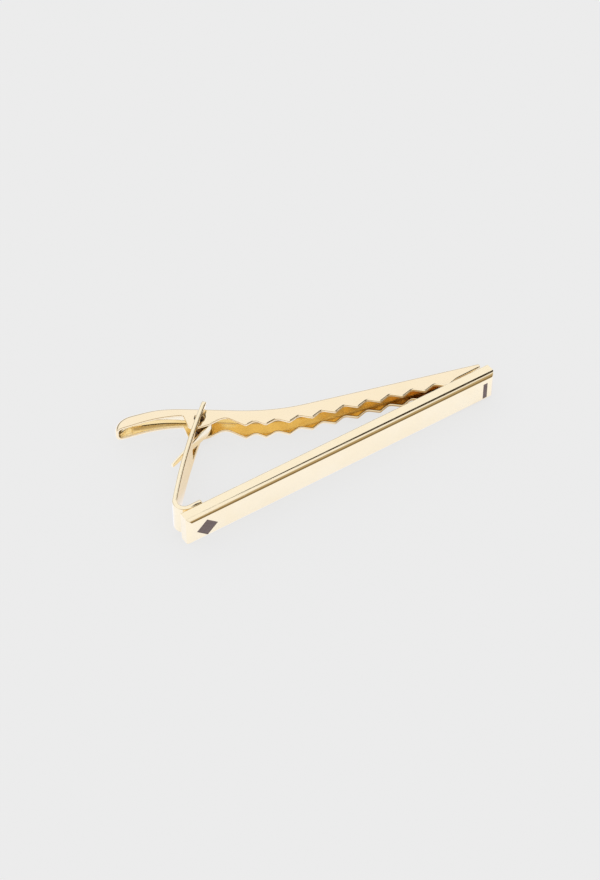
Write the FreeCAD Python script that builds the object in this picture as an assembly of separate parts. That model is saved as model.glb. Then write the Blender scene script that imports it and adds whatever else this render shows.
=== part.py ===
import FreeCAD, Part
import math
import os

# Alligator tie clip lying on its side.
# X runs along the bar, Y from the bar's front to the sprung jaw, Z up.
# The origin ends up under the middle of the whole clip.

Vector = FreeCAD.Vector
UP = Vector(0, 0, 1)

# Front bar
bar_length = 55.0
bar_depth = 2.2
bar_height = 5.2
bar_bevel = 0.58
bar_shoulder_round = 0.45
bar_edge_round = 0.22
bar_back_round = 0.18

# Enamel inlays let into the bar's front
inlay_depth = 0.35
inlay_sink = 0.04
inlay_drop = 0.3
lozenge_width = 3.6
lozenge_height = 3.2
lozenge_from_end = 3.2
stripe_width = 0.76
stripe_height = 3.0
stripe_from_end = 1.84

# Clip arm: one bent strip, its foot soldered to the bar's back
arm_thickness = 0.75
foot_length = 2.0
bend_centre = 1.9
bend_radius = 1.425
arm_lean = math.radians(50.3)
arm_bow_radius = 125.0
arm_to_pivot = 17.7
arm_past_pivot = 2.75
arm_edge_round = 0.2
prong_round = 0.3
slot_height = 3.5
slot_to_pivot = 5.75
slot_round = 0.35

# Pivot pin, with a thin tenon at each end
pin_radius = 0.66
pin_clearance = 0.04
pin_recess = 0.24
tenon_radius = 0.2
tenon_seat = 0.55
tenon_tip_gap = 0.02

# Jaw: a channel of stamped sheet, drawn with the pivot at its own zero
sheet = 0.5
channel_round = 0.42
spine_drop = 2.05
toe_reach = 44.3
neck_start = 16.0
neck_radius = 29.0
neck_angle = math.radians(23.6)
neck_run = 5.7
tail_radius = 22.0
tail_wall = 1.6
tail_end_wall = 2.35
tail_end_radius = 2.6
tail_end_angle = math.radians(80)
tail_end_round = 1.0
toe_round = 0.7
crest_reach = 6.0
crest_height = 3.3
tail_height = 2.6
toe_height = 2.0
crest_radius = 300.0

# Jaw ears and the arch before the first tooth
ear_back = 2.1
ear_drop = 1.85
ear_round = 1.1
ear_heel_round = 0.3
ear_heel_lead = 0.5
ear_front = 1.1
ear_front_drop = 1.62
ear_front_round = 0.9
arch_peak = 3.75
arch_drop = 0.85
arch_round = 1.6

# Jaw teeth, a zigzag with rounded corners along the two wall edges
tooth_count = 10
first_tooth_reach = 5.95
first_pitch = 3.0
toe_run = 6.55
tooth_depth = 0.85
tooth_tip_round = 0.3
tooth_valley_round = 0.5
heel_wall = 3.05
toe_wall = 3.1
ramp_reach = 1.8
ramp_rise = 1.0
ramp_round = 2.2
rest_gap = 0.72
contact_gap = 0.03

# Hairpin leaf spring round the pin
leaf_thickness = 0.35
leaf_width = 1.8
leaf_gap = 0.05
hairpin_radius = 1.2
leaf_leg_offset = 1.6
leaf_leg_angle = math.radians(36.4)
leaf_leg_length = 9.45
leaf_leg_tip_width = 0.8
leaf_tail_width = 1.3
leaf_tail_angle = math.radians(23)

overrun = 5.0
mid_height = bar_height / 2


def flat(x, y):
    return Vector(x, y, 0)


def turned(radius, angle):
    """A point at this radius, with the angle taken from +Y towards -X."""
    return flat(-radius * math.sin(angle), radius * math.cos(angle))


def line(a, b):
    return Part.LineSegment(a, b).toShape()


def arc(a, middle, b):
    return Part.Arc(a, middle, b).toShape()


def rounded_run(points, radii):
    """Straight runs through the points, with a tangent arc at each inner corner."""
    edges = []
    here = points[0]
    for before, corner, after, radius in zip(points, points[1:], points[2:], radii):
        back = (before - corner).normalize()
        on = (after - corner).normalize()
        half = math.acos(max(-1, min(1, back.dot(on)))) / 2
        reach = radius / math.tan(half)
        centre = corner + (back + on).normalize() * (radius / math.sin(half))
        start = corner + back * reach
        end = corner + on * reach
        middle = centre + (corner - centre).normalize() * radius
        edges += [line(here, start), arc(start, middle, end)]
        here = end
    return edges + [line(here, points[-1])]


def prism(edges, bottom, top):
    """A closed run of flat edges, raised from one height to another."""
    wire = Part.Wire(Part.__sortEdges__(edges))
    wire.translate(UP * bottom)
    return Part.Face(wire).extrude(UP * (top - bottom))


def polygon(points):
    return [line(a, b) for a, b in zip(points, points[1:] + points[:1])]


def upright(shape):
    """A prism drawn in plan and turned so that its plan stands in X and Z."""
    return shape.rotate(Vector(), Vector(1, 0, 0), 90)


def edges_where(shape, test):
    return [edge for edge in shape.Edges if test(edge)]


def near(a, b):
    return abs(a - b) < sheet / 100


def inlay_outline(points, grown):
    """The outline of an inlay on the bar's front, raised into the bar."""
    block = upright(prism(polygon(points), 0, grown))
    block.translate(flat(0, -bar_depth + grown))
    return block


def lozenge_points():
    centre = flat(lozenge_from_end, mid_height - inlay_drop)
    wide = flat(lozenge_width / 2, 0)
    tall = flat(0, lozenge_height / 2)
    return [centre - wide, centre - tall, centre + wide, centre + tall]


def stripe_points():
    left = bar_length - stripe_from_end - stripe_width / 2
    right = left + stripe_width
    low = mid_height - inlay_drop - stripe_height / 2
    high = low + stripe_height
    return [flat(left, low), flat(right, low), flat(right, high), flat(left, high)]


def make_inlay(points):
    inlay = inlay_outline(points, inlay_depth)
    sunk = inlay_outline(points, inlay_sink)
    return inlay.cut(sunk)


def make_bar():
    bar = Part.makeBox(bar_length, bar_depth, bar_height, flat(0, -bar_depth))
    front = edges_where(bar, lambda e: near(e.BoundBox.YMax, -bar_depth))
    bar = bar.makeChamfer(bar_bevel, front)
    shoulders = edges_where(
        bar, lambda e: e.BoundBox.YMax < -bar_back_round and e.BoundBox.YMax > -bar_depth + bar_edge_round
    )
    bar = bar.makeFillet(bar_shoulder_round, shoulders)
    front = edges_where(bar, lambda e: near(e.BoundBox.YMax, -bar_depth))
    bar = bar.makeFillet(bar_edge_round, front)
    back = edges_where(bar, lambda e: near(e.BoundBox.YMin, 0))
    bar = bar.makeFillet(bar_back_round, back)
    for points in (lozenge_points(), stripe_points()):
        bar = bar.cut(inlay_outline(points, inlay_depth))
    return bar


# The strip's middle line: foot, bend, then a slightly bowed run past the pivot.
# A heading is the way the line goes, and the strip bends to the right all along.
bend_middle = flat(bend_centre, arm_thickness / 2 + bend_radius)
bow_centre = bend_middle + turned(bend_radius - arm_bow_radius, arm_lean)


def bow_point(run, side):
    """A point on the bowed run: its way along from the bend, and left of the line."""
    return bow_centre + turned(arm_bow_radius + side, arm_lean - run / arm_bow_radius)


arm_length = arm_to_pivot + arm_past_pivot
pivot = bow_point(arm_to_pivot, 0)
arm_heading = arm_lean - arm_to_pivot / arm_bow_radius


def strip_side(side):
    """One face of the strip in plan, from the foot's end to the arm's end."""
    lift = flat(0, arm_thickness / 2 - side)
    radius = bend_radius + side
    foot_end = flat(bend_centre + foot_length, 0) + lift
    bend_start = flat(bend_centre, 0) + lift
    bend_end = bend_middle + turned(radius, arm_lean)
    bend_half = bend_middle + turned(radius, (math.pi + arm_lean) / 2)
    return [
        line(foot_end, bend_start),
        arc(bend_start, bend_half, bend_end),
        arc(bend_end, bow_point(arm_length / 2, side), bow_point(arm_length, side)),
    ]


def at_pivot(shape, angle):
    """Turns a shape drawn round zero and puts its zero at the pivot."""
    shape.rotate(Vector(), UP, math.degrees(angle))
    shape.translate(pivot)
    return shape


def fork_slot():
    """The gap between the prongs, open at the arm's end, with a round closed end."""
    low = mid_height - slot_height / 2
    high = mid_height + slot_height / 2
    start = -slot_to_pivot
    end = arm_past_pivot + overrun
    corners = [flat(end, low), flat(start, low), flat(start, high), flat(end, high)]
    outline = rounded_run(corners, [slot_round, slot_round])
    outline.append(line(corners[-1], corners[0]))
    slot = upright(prism(outline, -overrun / 2, overrun / 2))
    return at_pivot(slot, arm_heading)


def make_arm():
    left = strip_side(arm_thickness / 2)
    right = strip_side(-arm_thickness / 2)
    ends = [
        line(left[0].Vertexes[0].Point, right[0].Vertexes[0].Point),
        line(left[-1].Vertexes[-1].Point, right[-1].Vertexes[-1].Point),
    ]
    arm = prism(left + right + ends, 0, bar_height)
    arm_end = bow_point(arm_length, 0)
    corners = edges_where(
        arm,
        lambda e: near(e.BoundBox.ZLength, 0)
        and near(e.CenterOfMass.distanceToPoint(arm_end + UP * e.CenterOfMass.z), 0),
    )
    arm = arm.makeFillet(prong_round, corners)
    shortest = foot_length - arm_edge_round
    rims = edges_where(arm, lambda e: near(e.BoundBox.ZLength, 0) and e.Length > shortest)
    arm = arm.makeFillet(arm_edge_round, rims)
    arm = arm.cut(fork_slot())
    for height in (tenon_low, mid_height + tenon_reach - tenon_seat):
        seat = Part.makeCylinder(tenon_radius, tenon_seat, pivot + UP * height)
        arm = arm.cut(seat)
    return arm


def half_height(reach):
    """Half the channel's height at this way along the jaw."""
    end, height = (toe_reach, toe_height)
    if reach < crest_reach:
        end, height = (tail_tip.x, tail_height)
    share = (reach - crest_reach) / (end - crest_reach)
    return (crest_height + (height - crest_height) * share) / 2


# The jaw's back, from the toe over the neck to the curled tail.
# Each is a centre that the back and every line inside it share.
neck_centre = flat(neck_start, neck_radius - spine_drop)
neck_end = neck_centre - turned(neck_radius, -neck_angle)
neck_way = flat(-math.cos(neck_angle), math.sin(neck_angle))
neck_side = flat(math.sin(neck_angle), math.cos(neck_angle))
tail_start = neck_end + neck_way * neck_run
tail_centre = tail_start - neck_side * tail_radius
curl_centre = tail_centre + flat(0, tail_radius - tail_end_radius)
tail_tip = curl_centre + turned(tail_end_radius, tail_end_angle)


def back_points(depth, over):
    """Stations of the back, this far inside it, with its toe carried on by over."""
    return {
        "toe": flat(toe_reach + over, -spine_drop - depth),
        "neck start": flat(neck_start, -spine_drop - depth),
        "neck half": neck_centre - turned(neck_radius + depth, -neck_angle / 2),
        "neck end": neck_end - neck_side * depth,
        "tail start": tail_start - neck_side * depth,
        "tail half": tail_centre + turned(tail_radius - depth, -neck_angle / 2),
        "tail end": tail_centre + turned(tail_radius - depth, 0),
        "curl half": curl_centre + turned(tail_end_radius - depth, tail_end_angle / 2),
        "tip": curl_centre + turned(tail_end_radius - depth, tail_end_angle),
    }


def back_line(depth, over):
    p = back_points(depth, over)
    return [
        line(p["toe"], p["neck start"]),
        arc(p["neck start"], p["neck half"], p["neck end"]),
        line(p["neck end"], p["tail start"]),
        arc(p["tail start"], p["tail half"], p["tail end"]),
        arc(p["tail end"], p["curl half"], p["tip"]),
    ]


def on_wall(station, depth):
    """A point inside the back: its way along the tooth line, and its depth."""
    if station >= 0:
        return flat(neck_start + station, -spine_drop - depth)
    angle = -station / (neck_radius + heel_wall)
    return neck_centre - turned(neck_radius + depth, -angle)


# The teeth share out the run from the second one to the last, before the plain toe.
second_reach = first_tooth_reach + first_pitch
tooth_pitch = (toe_reach - toe_run - second_reach) / (tooth_count - 2)
reaches = [first_tooth_reach] + [second_reach + tooth_pitch * step for step in range(tooth_count - 1)]
stations = [reach - neck_start for reach in reaches]


def wall_depth(station):
    """How deep the walls are at a tooth tip, growing slowly towards the toe."""
    share = (station - stations[0]) / (stations[-1] - stations[0])
    return heel_wall + (toe_wall - heel_wall) * share


def tooth_corners():
    """The zigzag's sharp corners and their rounds, tip and valley in turn.

    Each corner stands out by what its round takes off, so the depth is that of the finished edge.
    """
    slant = math.hypot(tooth_pitch / 2, tooth_depth) / (tooth_pitch / 2)
    tip_trim = tooth_tip_round * (slant - 1)
    valley_trim = tooth_valley_round * (slant - 1)
    corners = [on_wall(stations[0], wall_depth(stations[0]) + tip_trim)]
    for here, after in zip(stations, stations[1:]):
        middle = (here + after) / 2
        corners.append(on_wall(middle, wall_depth(middle) - tooth_depth - valley_trim))
        corners.append(on_wall(after, wall_depth(after) + tip_trim))
    rounds = [tooth_tip_round] + [tooth_valley_round, tooth_tip_round] * (tooth_count - 1)
    return corners, rounds


def tail_edge(share):
    """A point on the lower edge of the tail's walls, this share of the way from ear to curl."""
    ear_reach = -ear_back - ear_heel_lead
    reach = ear_reach + (tail_centre.x - ear_reach) * share
    radius = tail_radius - tail_wall - (tail_end_wall - tail_wall) * share
    return tail_centre + turned(radius, math.asin((tail_centre.x - reach) / radius))


def wall_outline():
    """The whole outline of a jaw wall in plan: back, tail, ear, arch, teeth and ramp."""
    teeth, tooth_rounds = tooth_corners()
    back = back_points(0, 0)
    inner = back_points(sheet, 0)
    tail_end = tail_edge(1)
    lead = tail_edge(0)
    along = (lead - tail_centre).cross(UP).normalize()
    ear = [
        lead,
        lead + along * (ear_heel_lead / along.x),
        flat(-ear_back, -ear_drop),
        flat(ear_front, -ear_front_drop),
        flat(arch_peak, -arch_drop),
    ]
    ear_rounds = [ear_heel_round, ear_round, ear_front_round, arch_round]
    last = on_wall(stations[-1], wall_depth(stations[-1]))
    ramp = [last + flat(ramp_reach, ramp_rise), inner["toe"]]
    return (
        back_line(0, 0)
        + [line(back["tip"], inner["tip"])]
        + [line(inner["tip"], tail_end)]
        + [arc(tail_end, tail_edge(0.5), lead)]
        + rounded_run(ear + teeth + ramp, ear_rounds + tooth_rounds + [ramp_round])
        + [line(inner["toe"], back["toe"])]
    )


def channel_inside():
    """The plan of the hollow in front of the spine, open towards the bar."""
    p = back_points(sheet, overrun)
    far = -spine_drop - toe_wall - overrun
    way_out = p["tip"] - turned(overrun, tail_end_angle - math.pi / 2)
    corner = flat(way_out.x, far)
    other = flat(p["toe"].x, far)
    closing = [p["tip"], way_out, corner, other, p["toe"]]
    return back_line(sheet, overrun) + [line(a, b) for a, b in zip(closing, closing[1:])]


def side_view(less):
    """The jaw seen from the bar: tallest at its crest, lower at the tail and the toe."""
    left = tail_tip.x - overrun
    right = toe_reach + overrun
    high = [
        flat(left, half_height(left) - less),
        flat(crest_reach, half_height(crest_reach) - less),
        flat(right, half_height(right) - less),
    ]
    low = [flat(p.x, -p.y) for p in high]
    outline = rounded_run(high, [crest_radius]) + rounded_run(low, [crest_radius])
    outline += [line(high[0], low[0]), line(high[-1], low[-1])]
    reach = tail_radius + toe_wall
    return upright(prism(outline, -reach, reach))


def corner_cutter(radius, half):
    """What rounds off the two corners of an end that points along +X at zero."""
    block = Part.makeBox(
        radius + overrun, 2 * overrun, 2 * (half + overrun),
        Vector(-radius, -overrun, -half - overrun),
    )
    for side in (1, -1):
        rod = Part.makeCylinder(
            radius, 2 * overrun, Vector(-radius, -overrun, side * (half - radius)), Vector(0, 1, 0)
        )
        block = block.cut(rod)
    middle = Part.makeBox(
        2 * radius, 2 * overrun, 2 * (half - radius), Vector(-2 * radius, -overrun, -half + radius)
    )
    return block.cut(middle)


def rounded_ends(jaw):
    toe = corner_cutter(toe_round, half_height(toe_reach))
    toe.translate(flat(toe_reach, -spine_drop))
    lean = tail_end_round / tail_end_radius / 2
    tail = corner_cutter(tail_end_round, half_height(tail_tip.x))
    tail.rotate(Vector(), UP, 180 + math.degrees(tail_end_angle - lean))
    tail.translate(tail_tip)
    return jaw.cut(toe).cut(tail)


def back_rims(block):
    """The long edges between the back of the channel and its two walls."""
    back = Part.Wire(back_line(0, 0))

    def on_back(point):
        return near(back.distToShape(Part.Vertex(point.x, point.y, 0))[0], 0)

    return edges_where(
        block,
        lambda e: e.BoundBox.ZLength < e.Length / 2 and all(on_back(v.Point) for v in e.Vertexes),
    )


def make_jaw():
    tall = crest_height
    jaw = prism(wall_outline(), -tall, tall).common(side_view(0))
    jaw = jaw.makeFillet(channel_round, back_rims(jaw))
    jaw = jaw.cut(prism(channel_inside(), -tall, tall).common(side_view(sheet)))
    jaw = rounded_ends(jaw)
    bore = Part.makeCylinder(pin_radius + pin_clearance, 2 * tall, UP * -tall)
    return jaw.cut(bore)


last_tip = on_wall(stations[-1], wall_depth(stations[-1]))


def jaw_angle(gap):
    """The jaw's turn that leaves this gap between its last tooth and the bar's back."""
    return math.asin((gap - pivot.y) / last_tip.Length) - math.atan2(last_tip.y, last_tip.x)


pin_half = half_height(0) - pin_recess
tenon_reach = slot_height / 2 + tenon_seat
tenon_low = mid_height - tenon_reach


def make_pin():
    body = Part.makeCylinder(pin_radius, 2 * pin_half, pivot + UP * (mid_height - pin_half))
    tenon_length = 2 * (tenon_reach - tenon_tip_gap)
    tenon = Part.makeCylinder(tenon_radius, tenon_length, pivot + UP * (tenon_low + tenon_tip_gap))
    return body.fuse(tenon).removeSplitter()


def leaf_sides(side):
    """One face of the hairpin in the jaw's plan, from its free end to its tail end."""
    depth = sheet + leaf_gap + leaf_thickness / 2
    leg_way = flat(math.cos(leaf_leg_angle), math.sin(leaf_leg_angle))
    leg_left = flat(-math.sin(leaf_leg_angle), math.cos(leaf_leg_angle))
    spine_gap = tail_start.dot(neck_side) - depth
    # The bend's centre lies one radius inside both legs.
    low = hairpin_radius - leaf_leg_offset
    high = spine_gap - hairpin_radius
    across = leg_left.x * neck_side.y - leg_left.y * neck_side.x
    centre = flat(
        (low * neck_side.y - leg_left.y * high) / across,
        (leg_left.x * high - low * neck_side.x) / across,
    )
    radius = hairpin_radius - side
    bend_start = centre - leg_left * radius
    bend_end = centre + neck_side * radius
    middle = centre + (neck_side - leg_left).normalize() * radius
    free_end = bend_start - leg_way * leaf_leg_length
    tail_line = back_points(depth + side, 0)
    reach = tail_radius - depth - side
    tail_half = tail_centre + turned(reach, leaf_tail_angle / 2 - neck_angle)
    tail_end = tail_centre + turned(reach, leaf_tail_angle - neck_angle)
    return [
        line(free_end, bend_start),
        arc(bend_start, middle, bend_end),
        line(bend_end, tail_line["tail start"]),
        arc(tail_line["tail start"], tail_half, tail_end),
    ]


def leaf_taper(bend_x, end_x, end_width):
    """The leaf seen from the bar, from full width at its bend to its end's width."""
    far = bend_x + overrun
    outline = polygon([
        flat(far, leaf_width / 2),
        flat(bend_x, leaf_width / 2),
        flat(end_x, end_width / 2),
        flat(end_x, -end_width / 2),
        flat(bend_x, -leaf_width / 2),
        flat(far, -leaf_width / 2),
    ])
    reach = leaf_leg_length + overrun
    return upright(prism(outline, -reach, reach))


def make_leaf(first, last, taper):
    """Some of the hairpin's runs as one solid, cut to its taper."""
    outside = leaf_sides(-leaf_thickness / 2)[first:last]
    inside = leaf_sides(leaf_thickness / 2)[first:last]
    ends = [
        line(outside[0].Vertexes[0].Point, inside[0].Vertexes[0].Point),
        line(outside[-1].Vertexes[-1].Point, inside[-1].Vertexes[-1].Point),
    ]
    return prism(outside + inside + ends, -leaf_width, leaf_width).common(taper)


def make_spring():
    runs = leaf_sides(0)
    free_end = runs[0].Vertexes[0].Point
    bend_start = runs[1].Vertexes[0].Point
    tail_end = runs[-1].Vertexes[-1].Point
    tail_begin = runs[-1].Vertexes[0].Point
    leg = make_leaf(0, 1, leaf_taper(bend_start.x, free_end.x - overrun, leaf_leg_tip_width))
    rest = make_leaf(1, 4, leaf_taper(tail_begin.x, tail_end.x - overrun, leaf_tail_width))
    return leg.fuse(rest).removeSplitter()


def placed(shape):
    """A shape drawn in the jaw's own plan, at rest at the bar's middle height."""
    shape = at_pivot(shape, jaw_angle(rest_gap))
    shape.translate(UP * mid_height)
    return shape


parts = {
    "front_bar": make_bar(),
    "left_inlay": make_inlay(lozenge_points()),
    "right_inlay": make_inlay(stripe_points()),
    "clip_arm": make_arm(),
    "pivot_pin": make_pin(),
    "jaw": placed(make_jaw()),
    "spring": placed(make_spring()),
}

# The origin: under the middle of the whole clip.
box = Part.makeCompound(list(parts.values())).optimalBoundingBox(False)
middle = flat(-box.Center.x, -box.Center.y)

os.makedirs("parts", exist_ok=True)
for name, shape in parts.items():
    shape.translate(middle)
    shape.exportStep(f"parts/{name}.step")
    print(name, "solids", len(shape.Solids), "valid", shape.isValid(), "volume", round(shape.Volume, 3))

print("pivot", pivot + middle + UP * mid_height)
print("jaw angle", math.degrees(jaw_angle(rest_gap)), "closed", math.degrees(jaw_angle(contact_gap)))
print("box", box.XLength, box.YLength, box.ZLength, "shift", middle)
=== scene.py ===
import math
import bpy
from mathutils import Matrix, Vector


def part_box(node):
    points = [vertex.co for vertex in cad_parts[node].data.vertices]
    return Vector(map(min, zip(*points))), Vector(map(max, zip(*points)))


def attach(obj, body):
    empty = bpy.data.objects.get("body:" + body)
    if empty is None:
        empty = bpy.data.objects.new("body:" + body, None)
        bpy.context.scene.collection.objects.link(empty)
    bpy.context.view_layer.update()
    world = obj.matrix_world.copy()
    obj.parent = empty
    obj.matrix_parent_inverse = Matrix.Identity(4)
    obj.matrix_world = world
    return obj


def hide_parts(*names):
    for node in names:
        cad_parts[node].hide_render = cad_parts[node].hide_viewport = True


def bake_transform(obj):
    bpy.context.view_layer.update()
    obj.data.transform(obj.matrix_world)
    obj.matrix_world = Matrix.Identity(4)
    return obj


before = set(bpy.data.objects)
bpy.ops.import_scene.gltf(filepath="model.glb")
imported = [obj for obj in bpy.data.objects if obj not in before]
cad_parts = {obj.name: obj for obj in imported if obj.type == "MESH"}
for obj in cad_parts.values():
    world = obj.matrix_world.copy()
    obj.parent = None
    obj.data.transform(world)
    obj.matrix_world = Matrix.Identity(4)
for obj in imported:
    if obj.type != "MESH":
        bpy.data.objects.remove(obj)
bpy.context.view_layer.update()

# Front bar: the long bar that shows on the tie. Solid brass, milled with a bevel round its front,
# then polished along its length and plated with pale gold. Two shallow pockets take the enamel.
MM = 0.001
PALE_GOLD = (0.96, 0.80, 0.515)
WARM_GOLD = (0.95, 0.78, 0.485)
BAR_SHINE, BAR_LINES, BAR_RIPPLE = 0.075, 0.0002 * MM, 0.006 * MM
TONE_PATCH, TONE_DETAIL = 5.0, 3
HAZE_PATCH, HAZE_DETAIL, HAZE_LEAST, HAZE_MOST = 1.6, 5, 0.75, 1.5
RIPPLE_PATCH, RIPPLE_DETAIL = 5.5, 1
LINE_STRETCH, LINE_PATCH, LINE_DETAIL, LINE_ROUGH = (0.16, 7.0, 7.0), 1.0, 3, 0.6
SMOOTH_UP_TO = math.radians(40)


def add_node(tree, kind, settings=None, **sockets):
    """A shader node with its settings and its sockets' values."""
    node = tree.nodes.new(kind)
    for name, value in (settings or {}).items():
        setattr(node, name, value)
    for name, value in sockets.items():
        node.inputs[name.replace("_", " ")].default_value = value
    return node


def cloud(tree, place, size, detail, rough=0.55):
    """Soft noise whose patches are about this many millimetres across."""
    node = add_node(tree, "ShaderNodeTexNoise", Scale=1 / size, Detail=detail, Roughness=rough)
    tree.links.new(place, node.inputs["Vector"])
    return node.outputs["Fac"]


def spread(tree, value, low, high, start=0.3, end=0.7):
    """A value between start and end, stretched to run softly from low to high."""
    node = add_node(
        tree, "ShaderNodeMapRange", {"interpolation_type": "SMOOTHSTEP"},
        From_Min=start, From_Max=end, To_Min=low, To_Max=high,
    )
    tree.links.new(value, node.inputs["Value"])
    return node.outputs["Result"]


def in_millimetres(tree, turn, stretch):
    """Object coordinates in millimetres, turned in plan and stretched along the piece."""
    place = add_node(tree, "ShaderNodeTexCoord")
    turned = add_node(tree, "ShaderNodeMapping", Rotation=(0, 0, -turn), Scale=(1 / MM, 1 / MM, 1 / MM))
    drawn = add_node(tree, "ShaderNodeMapping", Scale=stretch)
    tree.links.new(place.outputs["Object"], turned.inputs["Vector"])
    tree.links.new(turned.outputs["Vector"], drawn.inputs["Vector"])
    return turned.outputs["Vector"], drawn.outputs["Vector"]


def polished_metal(name, turn, pale, warm, shine, line_depth, ripple_depth):
    """Polished metal with buffing lines along the turned X, soft ripples and faint haze."""
    material = bpy.data.materials.new(name)
    material.use_nodes = True
    tree = material.node_tree
    shader = tree.nodes["Principled BSDF"]
    shader.inputs["Metallic"].default_value = 1
    even, drawn = in_millimetres(tree, turn, LINE_STRETCH)
    tone = add_node(tree, "ShaderNodeMix", {"data_type": "RGBA"})
    tone.inputs["A"].default_value = (*pale, 1)
    tone.inputs["B"].default_value = (*warm, 1)
    tone_share = spread(tree, cloud(tree, even, TONE_PATCH, TONE_DETAIL), 0, 1)
    tree.links.new(tone_share, tone.inputs["Factor"])
    tree.links.new(tone.outputs["Result"], shader.inputs["Base Color"])
    haze = cloud(tree, even, HAZE_PATCH, HAZE_DETAIL)
    roughness = spread(tree, haze, shine * HAZE_LEAST, shine * HAZE_MOST)
    tree.links.new(roughness, shader.inputs["Roughness"])
    ripple = add_node(tree, "ShaderNodeBump", Strength=1.0, Distance=ripple_depth)
    tree.links.new(cloud(tree, even, RIPPLE_PATCH, RIPPLE_DETAIL), ripple.inputs["Height"])
    lines = add_node(tree, "ShaderNodeBump", Strength=1.0, Distance=line_depth)
    tree.links.new(cloud(tree, drawn, LINE_PATCH, LINE_DETAIL, LINE_ROUGH), lines.inputs["Height"])
    tree.links.new(ripple.outputs["Normal"], lines.inputs["Normal"])
    tree.links.new(lines.outputs["Normal"], shader.inputs["Normal"])
    return material


def pick(piece, kind, test):
    """Goes to edit mode with only those vertices, edges or faces selected that pass the test."""
    bpy.ops.object.mode_set(mode="OBJECT")
    bpy.context.tool_settings.mesh_select_mode = [kind == k for k in ("vertices", "edges", "polygons")]
    mesh = piece.data
    for group in (mesh.vertices, mesh.edges, mesh.polygons):
        for item in group:
            item.select = False
    for item in getattr(mesh, kind):
        item.select = test(item)
    bpy.ops.object.mode_set(mode="EDIT")


def settle(piece, name, body, material):
    """Ends a piece: named, at the origin, smooth up to an angle, finished and riding on its body."""
    bpy.ops.object.mode_set(mode="OBJECT")
    piece.name = name
    bpy.ops.object.transform_apply(location=True, rotation=True, scale=True)
    bpy.ops.object.shade_smooth_by_angle(angle=SMOOTH_UP_TO)
    if material:
        piece.data.materials.append(material)
    if body:
        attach(piece, body)


BAR_BEVEL, BEVEL_FULLNESS, BEVEL_STEPS = 0.70 * MM, 0.40, 14
BACK_ROUND, BACK_STEPS = 0.18 * MM, 4
CORNER_ROUND, CORNER_STEPS, CORNER_MERGE = 0.1 * MM, 3, 0.002 * MM
bar_low, bar_high = (Vector(c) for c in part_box("front_bar"))
bar_middle = (bar_low + bar_high) / 2
bar_half = (bar_high - bar_low) / 2
bpy.ops.object.select_all(action="DESELECT")
bpy.ops.mesh.primitive_cube_add(size=2, location=bar_middle)
bar = bpy.context.object
bpy.ops.transform.resize(value=bar_half)
bpy.ops.object.transform_apply(location=True, rotation=True, scale=True)


def bar_edges(test):
    """Picks the bar's edges with both ends passing the test."""
    pick(bar, "edges", lambda edge: all(test(bar.data.vertices[i].co) for i in edge.vertices))


def on_corner(place):
    """Whether a point lies on a mitre line, where the bevels of two sides meet."""
    away = place - bar_middle
    return abs((bar_half.x - abs(away.x)) - (bar_half.z - abs(away.z))) < CORNER_ROUND / 100


bar_edges(lambda place: place.y < bar_middle.y)
bpy.ops.mesh.bevel(offset=BAR_BEVEL, segments=BEVEL_STEPS, profile=BEVEL_FULLNESS, affect="EDGES")
bar_edges(lambda place: place.y > bar_high.y - BACK_ROUND)
bpy.ops.mesh.bevel(offset=BACK_ROUND, segments=BACK_STEPS, affect="EDGES")
bar_edges(on_corner)
bpy.ops.mesh.bevel(offset=CORNER_ROUND, segments=CORNER_STEPS, affect="EDGES", clamp_overlap=True)
bpy.ops.mesh.select_all(action="SELECT")
bpy.ops.mesh.remove_doubles(threshold=CORNER_MERGE)
bar_gold = polished_metal("gold_bar", 0, PALE_GOLD, WARM_GOLD, BAR_SHINE, BAR_LINES, BAR_RIPPLE)
settle(bar, "milled_bar", "bar", bar_gold)
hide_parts("front_bar")

# Enamel: a lozenge near the bar's left end and a stripe near its right end, dark brown glass
# enamel fired into pockets in the bar. Each stands a little below the gold, with a soft crown.
ENAMEL_BROWN = (0.165, 0.112, 0.090)
ENAMEL_DARK = (0.125, 0.082, 0.066)
ENAMEL_SHINE, COAT_SHARE, COAT_ROUGH = 0.2, 0.25, 0.08
ENAMEL_PATCH, ENAMEL_DETAIL = 0.35, 4
MATT_PATCH, MATT_DETAIL, MATT_LEAST, MATT_MOST = 0.5, 3, 0.28, 0.42
SKIN_PATCH, SKIN_DETAIL, SKIN_DEPTH = 0.3, 2, 0.0015 * MM
CROWN_STEP = 0.16 * MM
CROWN_RISE = 0.009 * MM
FACING = 0.9
EVEN_WEIGHT = 80


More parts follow.
